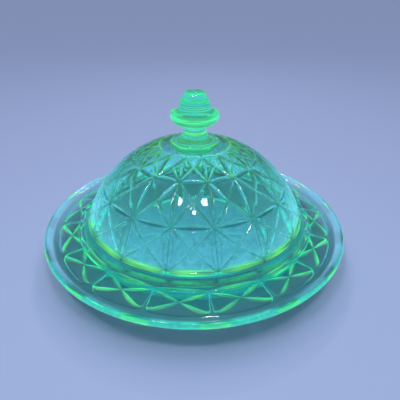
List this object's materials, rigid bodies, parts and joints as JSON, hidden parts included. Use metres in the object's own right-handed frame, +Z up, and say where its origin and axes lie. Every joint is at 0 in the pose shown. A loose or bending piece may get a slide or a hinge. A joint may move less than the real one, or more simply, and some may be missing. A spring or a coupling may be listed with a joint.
{
  "type": "butter dish",
  "caption": "Round pressed uranium-glass butter dish: a footed dish with a wide petal-pressed border and a domed, star-cut cover with a knob that lifts off",
  "frame": {"origin": "centre of the foot ring's underside, on the surface the dish stands on", "axes": "+Z up along the common axis of dish and cover; X and Y in the table plane, with a gap between two of the dish's petals 5.5 degrees round from +X and a groove of the cover 10 degrees round from it"},
  "size_m": [0.19, 0.19, 0.0994],
  "materials": {
    "dish_glass": "clear green-yellow uranium glass, fire polished",
    "cover_glass": "clear green-yellow uranium glass, fire polished"
  },
  "bodies": {
    "dish": {"dish": "dish_glass"},
    "cover": {"cover": "cover_glass"}
  },
  "joints": [
    {"name": "cover_lift", "type": "slide", "parent": "dish", "child": "cover", "axis": [0, 0, 1], "range_m": [0, 0.12]}
  ]
}
